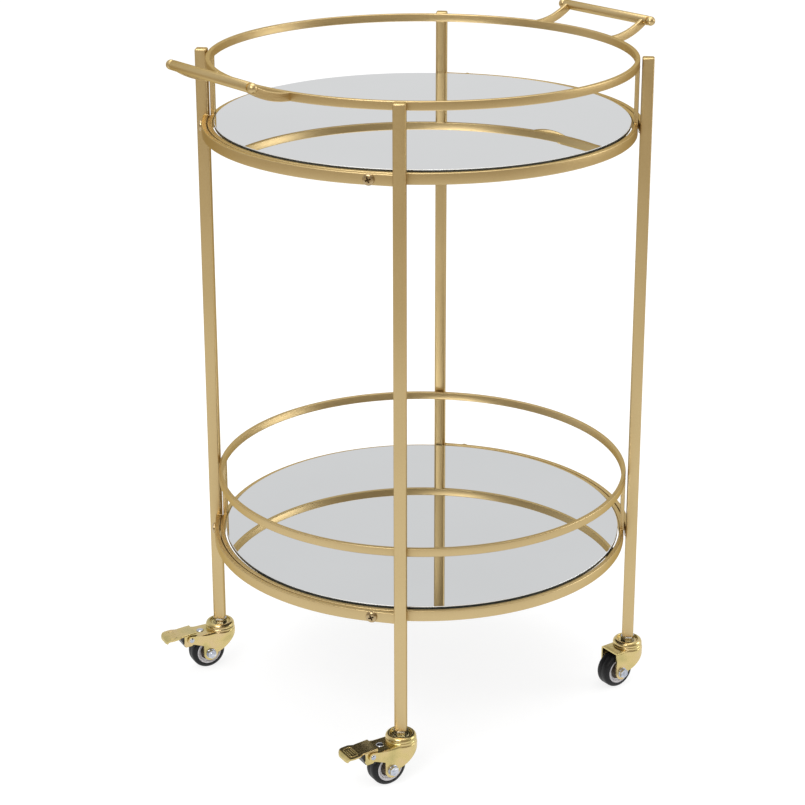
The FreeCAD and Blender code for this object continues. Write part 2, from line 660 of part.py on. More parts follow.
def pedalSaddle(name, under, top):
    # a plate with two flanges turned down beside the fork's cheeks, in the pivot's own frame
    stock = sidePrism(name + "_saddle", [
        ("-dims.pedal_back", top), ("-dims.pedal_back", under), ("-dims.flange_heel", "-dims.flange_heel"),
        ("0", "-dims.flange_drop"), ("dims.flange_front - dims.pedal_thick", "-dims.flange_drop"),
        ("dims.flange_front", "-dims.flange_heel"), ("dims.saddle_front", under),
        ("dims.saddle_front", top)], "2 * " + flangeHalf)

    def foldEdge(edge):
        box = edge.BoundBox
        return box.ZMin > sheet("pedal_level") + hair and box.YLength < hair and box.XLength > hair
    folded = roundEdges(name + "_fold", stock, sheet("saddle_fold"), foldEdge)
    room = block(name + "_room", "4 * dims.flange_front", "2 * (%s - dims.pedal_thick)" % flangeHalf,
                 "4 * dims.flange_drop", "-2 * dims.flange_front", under + " - 4 * dims.flange_drop")
    return cut(name + "_flanges", folded, room)


def pedalPlan(name, under, top):
    # the neck and the paddle from above
    sketch = doc.addObject("Sketcher::SketchObject", name + "_plan_view")
    near = [("0", "dims.neck_half"), ("dims.neck_end", "dims.neck_half"),
            ("dims.paddle_start", "dims.paddle_half"), ("dims.paddle_end", "dims.paddle_half")]
    outline(sketch, near + [(along, "-" + across) for along, across in reversed(near)])
    stock = doc.addObject("Part::Extrusion", name + "_stock")
    stock.Base = sketch
    stock.DirMode = "Custom"
    stock.Dir = Vector(0, 0, 1)
    stock.Solid = True
    bind(stock, {"LengthFwd": top})
    rounded = stock
    for word, along in (("neck_blend", "neck_end"), ("paddle_shoulder", "paddle_start"),
                        ("paddle_corner", "paddle_end")):
        def atCorner(edge, middle=sheet(along)):
            box = edge.BoundBox
            return box.ZLength > millimetre and abs(box.Center.x - middle) < hair and box.XLength < hair
        rounded = roundEdges("%s_%s" % (name, word), rounded, sheet(word), atCorner)
    return rounded


def pedalSide(name, under, top):
    # the neck and the paddle from the side: flat, then turned down round the tip
    lip = "dims.paddle_lip"
    bend = "(dims.paddle_end - %s)" % lip
    foot = "(%s - %s)" % (top, lip)
    width = "4 * dims.paddle_half"
    across = {"x": bend, "y": "2 * dims.paddle_half", "z": foot, "roll": quarterTurn}
    stock = fuse(name + "_side_stock", block(name + "_flat", bend, width, lip, "0", foot),
                 drum(name + "_tip", lip, width, **across))
    room = fuse(name + "_side_room",
                block(name + "_below", bend, width, "2 * dims.paddle_lip", "0",
                      "%s - 2 * dims.paddle_lip" % under),
                drum(name + "_tip_room", lip + " - dims.pedal_thick", width, **across),
                block(name + "_foot", "dims.paddle_end", width, lip, "0", "%s - %s" % (foot, lip)))
    return cut(name + "_side", stock, room)


def makePedal(corner):
    name = "brake_pedal_" + corner
    under = "dims.pedal_level"
    top = "(dims.pedal_level + dims.pedal_thick)"
    plate = common(name + "_plate", pedalPlan(name, under, top), pedalSide(name, under, top))
    whole = fuse(name + "_whole", pedalSaddle(name, under, top), plate)
    hole = drum(name + "_hole", "dims.pin_radius + dims.running_gap", "2 * dims.fork_half",
                y="dims.fork_half", roll=quarterTurn)
    node(atCaster(cut(name, whole, hole), corner, pivotX, pivotZ, "dims.pedal_tilt"), name)


def makeShoe(corner):
    name = "brake_shoe_" + corner
    wedge = sidePrism(name + "_wedge", [
        ("-dims.flange_heel", "dims.pedal_level"), ("dims.saddle_front", "dims.pedal_level"),
        ("dims.shoe_front", "0"), ("dims.shoe_toe", "-dims.flange_drop"),
        ("-dims.shoe_heel", "-dims.shoe_drop"), ("-dims.shoe_back", "-dims.shoe_waist")],
        "2 * (%s - dims.pedal_thick)" % flangeHalf)
    hole = drum(name + "_hole", "dims.pin_radius + dims.running_gap", "2 * dims.fork_half",
                y="dims.fork_half", roll=quarterTurn)
    node(atCaster(cut(name, wedge, hole), corner, pivotX, pivotZ, "dims.pedal_tilt"), name)


# The whole trolley.

for cornerName in corners:
    makeLeg(cornerName)
makeInserts()
allPads = []
for levelName in trayBase:
    makeTrayRing(levelName)
    makeGallery(levelName)
    allPads += makeMirror(levelName)
    makeScrews(levelName)
    for endName in endAngle:
        makeArc(levelName, endName)
node(group("mirror_pads", *allPads), "mirror_pads")
for endName in endAngle:
    makeHandle(endName)
node(group("caster_stems", *[makeStem(cornerName) for cornerName in corners]), "caster_stems")
makeBalls()
for cornerName in corners:
    makeCup(cornerName)
    makeFork(cornerName)
    makeWheel(cornerName)
    makeAxleBolt(cornerName)
for cornerName in brakedCorners:
    makeBrakeRivets(cornerName)
    makeLeaf(cornerName)
    makePedal(cornerName)
    makeShoe(cornerName)
doc.recompute()

failed = [item.Name for item in doc.Objects if "Invalid" in item.State or "Error" in item.State]
if failed:
    raise RuntimeError("failed objects: " + ", ".join(failed))
for item in nodes:
    if item.Shape.isNull() or not item.Shape.isValid() or not item.Shape.Solids:
        raise RuntimeError("bad shape: " + item.Label)
os.makedirs("parts", exist_ok=True)
for item in nodes:
    item.Shape.exportStep("parts/%s.step" % item.Label)
print(len(nodes), "nodes written")
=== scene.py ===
import json
import math
import bmesh
import bpy
import numpy as np
from mathutils import Matrix


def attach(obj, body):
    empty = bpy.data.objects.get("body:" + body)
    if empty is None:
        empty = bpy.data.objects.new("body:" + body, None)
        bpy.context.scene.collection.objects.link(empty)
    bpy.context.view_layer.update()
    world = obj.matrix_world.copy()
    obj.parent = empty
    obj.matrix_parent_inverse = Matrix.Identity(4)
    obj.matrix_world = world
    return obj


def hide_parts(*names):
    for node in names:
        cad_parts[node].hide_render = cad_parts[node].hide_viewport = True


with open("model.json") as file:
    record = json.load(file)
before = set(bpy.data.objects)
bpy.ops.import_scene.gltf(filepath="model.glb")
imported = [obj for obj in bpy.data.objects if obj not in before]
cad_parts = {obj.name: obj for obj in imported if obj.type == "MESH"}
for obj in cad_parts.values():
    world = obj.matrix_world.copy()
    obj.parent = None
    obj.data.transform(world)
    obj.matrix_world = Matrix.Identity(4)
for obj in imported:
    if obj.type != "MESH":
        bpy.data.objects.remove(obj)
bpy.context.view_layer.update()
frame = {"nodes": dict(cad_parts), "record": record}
print("trolley frame loaded")

mm = 0.001  # sizes are in millimetres until a mesh is filled
axisGap = 0.05  # a capped turned shape starts this far from its axis
bothWays = (1, -1)
legAngles = {"front": -135.0, "left": 135.0, "right": -45.0, "back": 45.0}
trayLevels = {"lower": 168.0, "upper": 608.0}
endAngles = {"left": 180.0, "right": 0.0}
trolleyBody = "trolley_frame"
meshDims = {"merge": 2e-6, "smallest": 1e-6, "smoothBelow": 38}  # metres, metres, degrees


def gridPart(points, wrapRows=False, capped=True):
    # points[row, column] is a surface whose columns close on themselves: a quad between each four
    # neighbours, and one face over each end of an open tube
    rows, columns = points.shape[:2]
    r, c = np.meshgrid(np.arange(rows if wrapRows else rows - 1), np.arange(columns), indexing="ij")
    nextRow, nextColumn = (r + 1) % rows, (c + 1) % columns
    corners = [r * columns + c, r * columns + nextColumn,
               nextRow * columns + nextColumn, nextRow * columns + c]
    faces = np.stack(corners, -1).reshape(-1, 4).tolist()
    if capped and not wrapRows:
        faces.append(list(range(columns))[::-1])
        faces.append([(rows - 1) * columns + k for k in range(columns)])
    return points.reshape(-1, 3), faces


def turnAbout(points, degrees):
    # the points turned about the upright axis
    a = math.radians(degrees)
    turn = np.array([[math.cos(a), -math.sin(a), 0], [math.sin(a), math.cos(a), 0], [0, 0, 1]])
    return points @ turn.T


def roundedLoop(width, height, radius, steps=4):
    # the outline of a rectangle with quarter circles at its corners, once round
    turns = np.radians(np.linspace(0, 90, steps + 1))
    loop = []
    for k, (sx, sy) in enumerate(((1, 1), (-1, 1), (-1, -1), (1, -1))):
        a = turns + math.radians(90 * k)
        loop.append(np.stack([sx * (width / 2 - radius) + radius * np.cos(a),
                              sy * (height / 2 - radius) + radius * np.sin(a)], -1))
    return np.concatenate(loop)


def latheRows(profile, segments):
    # each profile point (radius, height) carried round the upright axis
    a = np.linspace(0, 2 * np.pi, segments, endpoint=False)
    profile = np.asarray(profile, float)
    r, z = profile[:, :1], profile[:, 1:]
    return np.stack([r * np.cos(a), r * np.sin(a), z + 0 * a], -1)


def bothSides(half, middle=()):
    # a half profile, its middle points and its mirror image
    return half + list(middle) + [(r, -z) for r, z in reversed(half)]


def makePiece(name, parts, material, body, slotName, replaced=(), smoothBelow=meshDims["smoothBelow"],
              others=(), choose=None):
    # choose gives each face's place in the list of materials from the faces' centres in millimetres
    vertices, faces, count = [], [], 0
    for points, partFaces in parts:
        vertices.append(points * mm)
        faces += [[i + count for i in face] for face in partFaces]
        count += len(points)
    mesh = bpy.data.meshes.new(name)
    mesh.from_pydata(np.concatenate(vertices).tolist(), [], faces)
    work = bmesh.new()
    work.from_mesh(mesh)
    bmesh.ops.remove_doubles(work, verts=work.verts, dist=meshDims["merge"])
    bmesh.ops.dissolve_degenerate(work, dist=meshDims["smallest"], edges=work.edges)
    bmesh.ops.recalc_face_normals(work, faces=work.faces)
    work.to_mesh(mesh)
    work.free()
    for one in (material, *others):
        mesh.materials.append(one)
    if choose is not None:
        centres = np.zeros(len(mesh.polygons) * 3, np.float32)
        mesh.polygons.foreach_get("center", centres)
        chosen = choose(centres.reshape(-1, 3) / mm).astype(np.int32)
        mesh.polygons.foreach_set("material_index", chosen)
    return finishPiece(mesh, name, body, replaced, smoothBelow)


def finishPiece(mesh, name, body, replaced, smoothBelow):
    mesh.shade_smooth()
    mesh.set_sharp_from_angle(angle=math.radians(smoothBelow))
    piece = bpy.data.objects.new(name, mesh)
    bpy.context.scene.collection.objects.link(piece)
    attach(piece, body)
    if replaced:
        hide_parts(*replaced)
    return piece


def makeGoldPiece(name, parts, replaced=(), **more):
    makePiece(name, parts, satinGold, trolleyBody, "gold_paint", replaced, **more)


def feed(tree, node, inputs):
    # each input gets its own value, or the socket that feeds it
    for place, value in inputs.items():
        if isinstance(value, bpy.types.NodeSocket):
            tree.links.new(value, node.inputs[place])
        else:
            node.inputs[place].default_value = value


def addNode(tree, kind, inputs=None, **settings):
    node = tree.nodes.new("ShaderNode" + kind)
    for setting, value in settings.items():
        setattr(node, setting, value)
    feed(tree, node, inputs or {})
    return node


def startMaterial(name):
    material = bpy.data.materials.new(name)
    material.use_nodes = True
    tree = material.node_tree
    return material, tree, tree.nodes["Principled BSDF"], addNode(tree, "TexCoord").outputs["Object"]


noiseSpans = {"colour": (0.35, 0.65), "gloss": (0.3, 0.7)}  # where most of a noise's values lie


def noiseOn(tree, place, scale, detail, stretch=None):
    if stretch is not None:
        place = addNode(tree, "Mapping", {"Scale": stretch, "Vector": place}).outputs["Vector"]
    return addNode(tree, "TexNoise", {"Scale": scale, "Detail": detail, "Vector": place}).outputs["Fac"]


def rampThrough(tree, source, stops):
    # a colour ramp through (position, colour) stops; its own two elements are the first and the last
    ramp = addNode(tree, "ValToRGB", {"Fac": source})
    elements = ramp.color_ramp.elements
    for k in (0, -1):
        elements[k].position = stops[k][0]
        elements[k].color = (*stops[k][1], 1)
    for position, colour in stops[1:-1]:
        elements.new(position).color = (*colour, 1)
    return ramp.outputs["Color"]


def shadesOf(tree, noise, finish):
    return rampThrough(tree, noise, list(zip(noiseSpans["colour"], (finish["dark"], finish["light"]))))


def glossOf(tree, noise, finish):
    low, high = noiseSpans["gloss"]
    smooth, rough = finish["roughness"]
    return addNode(tree, "MapRange", {"From Min": low, "From Max": high, "To Min": smooth,
                                      "To Max": rough, "Value": noise}).outputs["Result"]


def bumpOf(tree, noise, finish):
    return addNode(tree, "Bump", {"Distance": finish["bump"], "Strength": 1.0,
                                  "Height": noise}).outputs["Normal"]


def paintedMetal(name, finish):
    # fine speckle and a slow drift in colour, with a faint orange peel
    material, tree, shader, place = startMaterial(name)
    share = finish["speckleShare"]
    speckle = noiseOn(tree, place, finish["speckleScale"], 4)
    drift = noiseOn(tree, place, finish["driftScale"], 2)
    slow = addNode(tree, "Math", {0: drift, 1: 1 - share}, operation="MULTIPLY").outputs[0]
    mixed = addNode(tree, "Math", {0: speckle, 1: share, 2: slow}, operation="MULTIPLY_ADD").outputs[0]
    edge = finish.get("edge", (1, 1, 1))  # the colour at a grazing view
    feed(tree, shader, {"Base Color": shadesOf(tree, mixed, finish), "Metallic": 1.0,
                        "Roughness": glossOf(tree, speckle, finish), "Specular Tint": (*edge, 1),
                        "Normal": bumpOf(tree, speckle, finish)})
    return material


def yellowZincPlate(finish):
    # yellow passivated zinc: soft blotches of straw, olive and rose over faint rolling lines
    material, tree, shader, place = startMaterial("yellowZincPlate")
    blotch = noiseOn(tree, place, finish["blotchScale"], 3)
    lines = noiseOn(tree, place, finish["lineScale"], 3, finish["lineStretch"])
    stops = [(finish["stops"][k], finish[shade]) for k, shade in enumerate(("olive", "straw", "rose"))]
    feed(tree, shader, {"Base Color": rampThrough(tree, blotch, stops), "Metallic": 1.0,
                        "Roughness": glossOf(tree, lines, finish),
                        "Normal": bumpOf(tree, lines, finish)})
    return material


def plainSurface(name, finish):
    # moulded material: mottled colour, uneven gloss and a fine grain
    material, tree, shader, place = startMaterial(name)
    grain = noiseOn(tree, place, finish["grainScale"], 4)
    feed(tree, shader, {"Base Color": shadesOf(tree, grain, finish),
                        "Roughness": glossOf(tree, grain, finish),
                        "Metallic": finish.get("metallic", 0.0),
                        "Specular IOR Level": finish.get("specular", 0.5),
                        "Normal": bumpOf(tree, grain, finish)})
    return material


goldFinish = {"dark": (0.605, 0.460, 0.234), "light": (0.672, 0.520, 0.276), "edge": (0.62, 0.50, 0.28),
              "speckleScale": 900.0, "driftScale": 9.0, "speckleShare": 0.45,
              "roughness": (0.33, 0.42), "bump": 0.000006}
screwFinish = {"dark": (0.42, 0.31, 0.17), "light": (0.62, 0.48, 0.28),
               "speckleScale": 500.0, "driftScale": 60.0, "speckleShare": 0.4,
               "roughness": (0.20, 0.30), "bump": 0.000005}
# painted shade: a dark brown for the faces sunk in each screw's cross recess, standing in for the shade
# that falls there
crossShadeFinish = {"dark": (0.10, 0.06, 0.03), "light": (0.17, 0.11, 0.05),
               "speckleScale": 500.0, "driftScale": 60.0, "speckleShare": 0.4,
               "roughness": (0.40, 0.55), "bump": 0.000005}
steelFinish = {"dark": (0.34, 0.38, 0.47), "light": (0.82, 0.84, 0.89),
               "speckleScale": 380.0, "driftScale": 120.0, "speckleShare": 0.4,
               "roughness": (0.14, 0.26), "bump": 0.000005}
zincFinish = {"olive": (0.56, 0.47, 0.20), "straw": (0.70, 0.56, 0.25), "rose": (0.72, 0.55, 0.30),
              "stops": (0.30, 0.5, 0.72), "blotchScale": 70.0,
              "lineScale": 180.0, "lineStretch": (1.0, 6.0, 6.0),
              "roughness": (0.20, 0.30), "bump": 0.0000025}
tyreFinish = {"dark": (0.005, 0.005, 0.006), "light": (0.012, 0.012, 0.014),
              "grainScale": 700.0, "roughness": (0.40, 0.52), "bump": 0.00001, "specular": 0.3}
rimFinish = {"dark": (0.56, 0.54, 0.56), "light": (0.68, 0.66, 0.68),
             "grainScale": 300.0, "roughness": (0.22, 0.34), "bump": 0.000005}
# painted shade: a dark brown for the web and hub inside the rim's second ring, where shade falls in the
# recess
recessShadeFinish = {"dark": (0.10, 0.075, 0.055), "light": (0.16, 0.12, 0.09),
                "grainScale": 300.0, "roughness": (0.35, 0.5), "bump": 0.000005}
shoeFinish = {"dark": (0.006, 0.006, 0.007), "light": (0.014, 0.014, 0.015),
              "grainScale": 500.0, "roughness": (0.3, 0.45), "bump": 0.00002}
padFinish = {"dark": (0.62, 0.62, 0.60), "light": (0.72, 0.72, 0.70),
             "grainScale": 300.0, "roughness": (0.25, 0.4), "bump": 0.00001}
edgeFinish = {"dark": (0.020, 0.024, 0.023), "light": (0.045, 0.052, 0.050),
              "grainScale": 200.0, "roughness": (0.15, 0.3), "bump": 0.000002}
backFinish = {"dark": (0.030, 0.026, 0.022), "light": (0.050, 0.044, 0.038),
              "grainScale": 400.0, "roughness": (0.5, 0.7), "bump": 0.00001, "specular": 0.3}
mirrorFinish = {"dark": (0.800, 0.815, 0.825), "light": (0.815, 0.830, 0.840),
                "grainScale": 6.0, "roughness": (0.0, 0.012), "bump": 0.0, "metallic": 1.0}
bevelFinish = {"dark": (0.760, 0.775, 0.790), "light": (0.790, 0.805, 0.820),
               "grainScale": 60.0, "roughness": (0.45, 0.55), "bump": 0.0, "metallic": 1.0}

satinGold = paintedMetal("satinGoldPaint", goldFinish)
goldScrew = paintedMetal("goldScrewPlating", screwFinish)
paintedCrossShade = paintedMetal("screwCrossPaintedShade", crossShadeFinish)
brightZinc = paintedMetal("brightZincSteel", steelFinish)
yellowZinc = yellowZincPlate(zincFinish)
tyreRubber = plainSurface("tyreRubber", tyreFinish)
rimPlastic = plainSurface("rimPlastic", rimFinish)
recessPaintedShade = plainSurface("rimRecessPaintedShade", recessShadeFinish)
shoePlastic = plainSurface("brakeShoePlastic", shoeFinish)
clearPad = plainSurface("clearPadRubber", padFinish)
edgeGlass = plainSurface("mirrorEdgeGlass", edgeFinish)
backPaint = plainSurface("mirrorBackPaint", backFinish)
mirrorFace = plainSurface("mirrorFaceSilver", mirrorFinish)
mirrorBevel = plainSurface("mirrorBevelSilver", bevelFinish)

nodeMaterials = {"gold_paint": satinGold, "gold_screw": goldScrew, "mirror_glass": mirrorFace,
                 "yellow_zinc": yellowZinc, "silver_steel": brightZinc, "tyre_rubber": tyreRubber,
                 "rim_plastic": rimPlastic, "clear_pad": clearPad, "black_plastic": shoePlastic}
for part in frame["record"]["subparts"]:
    mesh = frame["nodes"][part["node"]].data
    mesh.materials.clear()
    mesh.materials.append(nodeMaterials[part["material_slot"]])
print("materials made")


hoopDims = {"outer": 215.0, "inner": 210.0, "height": 11.0, "edge": 0.9, "segments": 240}
railDims = {"inner": 210.5, "height": 8.5, "rise": 77.4, "edge": 0.9}
mirrorDims = {"radius": 208.5, "glass": 4.0, "proud": 1.8, "bevel": 0.5, "margin": 12.0, "segments": 240,
              "edgeShare": 0.3, "bevelShare": 1.2, "smoothBelow": 30}


def hoopPart(d, bottom):
    # a rounded rectangle carried round the trolley's axis
    outer = hoopDims["outer"]
    loop = roundedLoop(outer - d["inner"], d["height"], d["edge"])
    profile = np.stack([(outer + d["inner"]) / 2 + loop[:, 0],
                        bottom + d["height"] / 2 + loop[:, 1]], -1)
    return gridPart(latheRows(profile, hoopDims["segments"]).transpose(1, 0, 2), wrapRows=True)


def makeTray(level, base):
    makeGoldPiece(level + "_hoop", [hoopPart(hoopDims, base)], [level + "_tray_ring"])
    makeGoldPiece(level + "_rail", [hoopPart(railDims, base + railDims["rise"] - railDims["height"])],
                  [level + "_gallery_rail"])
    d = mirrorDims
    r, b = d["radius"], d["bevel"]
    top = base + hoopDims["height"] + d["proud"]
    low = top - d["glass"]
    profile = [(0, low), (r - b, low), (r, low + b), (r, top - b), (r - b, top), (r - d["margin"], top),
               (0, top)]

    def faceKinds(c):
        # 0 the mirror, 1 the ground edge, 2 the painted back, 3 the bevel
        out = np.hypot(c[:, 0], c[:, 1])
        return np.select([c[:, 2] < low + b / 2, out > r - b * d["edgeShare"],
                          out > r - b * d["bevelShare"]], [2, 1, 3], 0)
    makePiece(level + "_mirror_disc", [gridPart(latheRows(profile, d["segments"]), capped=False)],
              mirrorFace, trolleyBody, "mirror_glass", [level + "_mirror"], smoothBelow=d["smoothBelow"],
              others=[edgeGlass, backPaint, mirrorBevel], choose=faceKinds)


for levelName, levelBase in trayLevels.items():
    makeTray(levelName, levelBase)
print("hoops, rails and mirrors made")


legDims = {"side": 12.0, "radius": 223.0, "bottom": 54.0, "top": 686.0, "corner": 1.8,
           "leastCorner": 0.4, "dome": 1.6, "footInsets": (0.6, 0.15, 0.0), "footRises": (0.0, 0.3, 0.9)}
postDims = {"inner": 210.5, "outer": 215.0, "width": 8.0, "edge": 0.7}
arcDims = {"inner": 216.0, "outer": 221.0, "edge": 0.8, "bend": 37.5, "toLeg": 45.0, "segments": 60}


def legPart(angle):
    # a rounded square carried up the leg, its top drawn in along a quarter circle
    d = legDims
    turns = np.radians(np.linspace(0, 90, 6))
    insets = np.concatenate([d["footInsets"], d["dome"] * (1 - np.cos(turns))])
    heights = np.concatenate([d["bottom"] + np.array(d["footRises"]),
                              d["top"] - d["dome"] * (1 - np.sin(turns))])
    rows = []
    for inset, height in zip(insets, heights):
        side = d["side"] - 2 * inset
        loop = roundedLoop(side, side, max(d["corner"] - inset, d["leastCorner"]))
        rows.append(np.column_stack([d["radius"] + loop[:, 0], loop[:, 1], np.full(len(loop), height)]))
    return gridPart(turnAbout(np.array(rows), angle))


def postPart(angle, base):
    # a short flat post, rounded along its edges and curved with the hoop
    d = postDims
    middle = (d["outer"] + d["inner"]) / 2
    loop = roundedLoop(d["outer"] - d["inner"], d["width"], d["edge"])
    low = base + hoopDims["height"]
    high = base + railDims["rise"] - railDims["height"]
    r, turn = middle + loop[:, 0], loop[:, 1] / middle
    rows = [np.column_stack([r * np.cos(turn), r * np.sin(turn), np.full(len(loop), z)])
            for z in np.linspace(low, high, 5)]
    return gridPart(turnAbout(np.array(rows), angle))


def arcPart(end, base):
    # flat bar: a bend about the trolley's axis between two straight runs, cut at the legs' side faces
    d = arcDims
    loop = roundedLoop(d["outer"] - d["inner"], hoopDims["height"], d["edge"])
    r = (d["outer"] + d["inner"]) / 2 + loop[:, 0]
    z = base + hoopDims["height"] / 2 + loop[:, 1]
    turns = np.radians(np.linspace(-d["bend"], d["bend"], d["segments"]))[:, None]
    bend = np.stack([r * np.cos(turns), r * np.sin(turns), z + 0 * turns], -1)
    lean, a = math.radians(d["toLeg"] - d["bend"]), math.radians(d["bend"])
    run = (r * math.sin(lean) - legDims["side"] / 2) / math.cos(lean)

    def endRow(sign, share):
        # the bar's section that share of the way along the straight run
        x = r * math.cos(a) - share * run * math.sin(a)
        y = r * math.sin(a) + share * run * math.cos(a)
        return [np.column_stack([x, sign * y, z])]
    rows = np.concatenate([endRow(-1, 1.0), endRow(-1, 0.5), bend, endRow(1, 0.5), endRow(1, 1.0)])
    return gridPart(turnAbout(rows, endAngles[end]))


for cornerName, cornerAngle in legAngles.items():
    makeGoldPiece("leg_tube_" + cornerName, [legPart(cornerAngle)], ["leg_" + cornerName])
for levelName, levelBase in trayLevels.items():
    makeGoldPiece(levelName + "_posts", [postPart(a, levelBase) for a in legAngles.values()],
                  [levelName + "_gallery_posts"])
    for endName in endAngles:
        makeGoldPiece("%s_quarter_arc_%s" % (levelName, endName), [arcPart(endName, levelBase)],
                      ["%s_arc_%s" % (levelName, endName)])
print("legs, posts and arcs made")


handleDims = {"reach": 253.0, "height": 696.7, "radius": 5.0, "half": 62.5, "endRound": 0.7,
              "endCorner": 0.2, "ballRadius": 4.9, "ballStand": 3.5, "ballTurn": 132, "waist": 0.96,
              "bracketY": 57.0, "root": 205.0, "rootSunk": 0.8, "wall": 4.5, "depth": 8.5, "edge": 0.8,
              "bendShare": 0.93, "segments": 48}


def alongY(rows):
    # a shape turned about Z laid down so that its axis runs along +Y
    return np.stack([rows[..., 0], rows[..., 2], -rows[..., 1]], -1)


def barRows():
    # a round bar with softened ends
    d = handleDims
    r, h, soft, corner = d["radius"], d["half"], d["endRound"], d["endCorner"]
    half = [(0, -h), (r - soft, -h), (r - corner, -h + corner), (r, -h + soft)]
    return alongY(latheRows(bothSides(half), d["segments"]))


def ballRows(sign):
    # a ball on a short waist, so that a fine groove shows against the bar
    d = handleDims
    r, foot = d["ballRadius"], d["half"] - d["endCorner"]
    turns = np.radians(np.linspace(0, d["ballTurn"], 22))
    profile = [(r * math.sin(a), d["half"] + d["ballStand"] + r * math.cos(a)) for a in turns]
    profile += [(profile[-1][0] * d["waist"], foot), (0, foot)]
    return alongY(latheRows(profile, d["segments"]) * (1, 1, sign))


def bracketRows(y):
    # flat strip on edge that leaves the rail level and bends up to the bar along one arc
    d = handleDims
    railMiddle = trayLevels["upper"] + railDims["rise"] - railDims["height"] / 2
    run, rise = d["reach"] - d["root"], d["height"] - railMiddle
    sweep = 2 * math.atan2(rise, run)
    bend = run / math.sin(sweep)
    start = math.asin((math.sqrt(hoopDims["outer"] ** 2 - y ** 2) - d["rootSunk"] - d["root"]) / bend)
    turns = np.linspace(start, sweep * d["bendShare"], 28)[:, None]
    loop = roundedLoop(d["wall"], d["depth"], d["edge"])
    r = bend + loop[:, 1]
    return np.stack([d["root"] + r * np.sin(turns), y + loop[:, 0] + 0 * turns,
                     railMiddle + bend - r * np.cos(turns)], -1)


def makeHandle(end):
    d, turn = handleDims, endAngles[end]
    middle = np.array([d["reach"], 0, d["height"]])
    pieces = {"bar": [gridPart(turnAbout(barRows() + middle, turn), capped=False)],
              "balls": [gridPart(turnAbout(ballRows(s) + middle, turn), capped=False) for s in bothWays],
              "brackets": [gridPart(turnAbout(bracketRows(s * d["bracketY"]), turn)) for s in bothWays]}
    for kind, parts in pieces.items():
        makeGoldPiece("%s_grip_%s" % (end, kind), parts, ["%s_handle_%s" % (end, kind)])


for endName in endAngles:
    makeHandle(endName)
print("handles made")


beadDims = {"radius": 0.55, "ripple": 0.12, "waves": 26, "corner": 0.5, "cornerSteps": 8, "segments": 8,
            "inset": 0.2, "smoothBelow": 60}


def beadPart(centre, across, up, halfAcross, halfUp):
    # a thin tube round a rectangular joint, its thickness rippled by a sine of the way round
    d = beadDims
    corner = min(halfAcross, halfUp) * d["corner"]
    loop = roundedLoop(2 * halfAcross, 2 * halfUp, corner, d["cornerSteps"])
    along = np.cumsum(np.hypot(*(np.roll(loop, -1, axis=0) - loop).T))
    outward = loop / np.hypot(loop[:, 0], loop[:, 1])[:, None]
    thick = d["radius"] + d["ripple"] * np.sin(along / along[-1] * 2 * np.pi * d["waves"])
    turns = np.linspace(0, 2 * np.pi, d["segments"], endpoint=False)[:, None]
    path = centre + loop[:, :1] * across + loop[:, 1:] * up
    side = outward[:, :1] * across + outward[:, 1:] * up
    rows = path[:, None] + thick[:, None, None] * (np.cos(turns) * side[:, None]
                                                   + np.sin(turns) * np.cross(across, up))
    return gridPart(rows, wrapRows=True)


def makeBeads():
    # round the foot and the head of each post, and where each arc meets a leg's side
    parts, upright = [], np.array([0, 0, 1.0])
    hoopHigh = hoopDims["height"]
    postMiddle = (postDims["outer"] + postDims["inner"]) / 2
    postHalf = (postDims["outer"] - postDims["inner"]) / 2 - beadDims["inset"]
    arcMiddle = (arcDims["inner"] + arcDims["outer"]) / 2
    arcHalf = (arcDims["outer"] - arcDims["inner"]) / 2
    for angle in legAngles.values():
        a = math.radians(angle)
        radial = np.array([math.cos(a), math.sin(a), 0])
        side = np.array([-math.sin(a), math.cos(a), 0])
        toEnd = -1 if math.sin(a) * math.cos(a) > 0 else 1
        face = side * toEnd * legDims["side"] / 2
        for base in trayLevels.values():
            for height in (base + hoopHigh, base + railDims["rise"] - railDims["height"]):
                parts.append(beadPart(radial * postMiddle + upright * height, side, radial,
                                      postDims["width"] / 2, postHalf))
            parts.append(beadPart(radial * arcMiddle + face + upright * (base + hoopHigh / 2), radial,
                                  upright, arcHalf, hoopHigh / 2))
    makeGoldPiece("frame_weld_beads", parts, smoothBelow=beadDims["smoothBelow"])


makeBeads()
print("weld beads made")


screwDims = {"radius": 5.5, "height": 3.0, "fall": 0.45, "recess": 2.1, "slotWidth": 0.62,
             "slotReach": 2.7, "wallSlope": 0.2, "endSlope": 0.3, "crossTurn": 22.0, "shank": 3.0,
             "shankEnd": -6.0, "skirt": ((0.15, 1.2), (0.1, 0.1)), "shadedBelow": 0.25, "segments": 96,
             "smoothBelow": 45}


def panHeight(out):
    # the pan head's height falls as a fourth power of the distance from its axis
    d = screwDims
    return d["height"] * (1 - d["fall"] * (out / d["radius"]) ** 4)


def inside(distance, limit, slope):
    # 1 inside the limit, 0 outside it, and a slope of that width between
    return np.clip((limit - distance) / slope + 0.5, 0, 1)


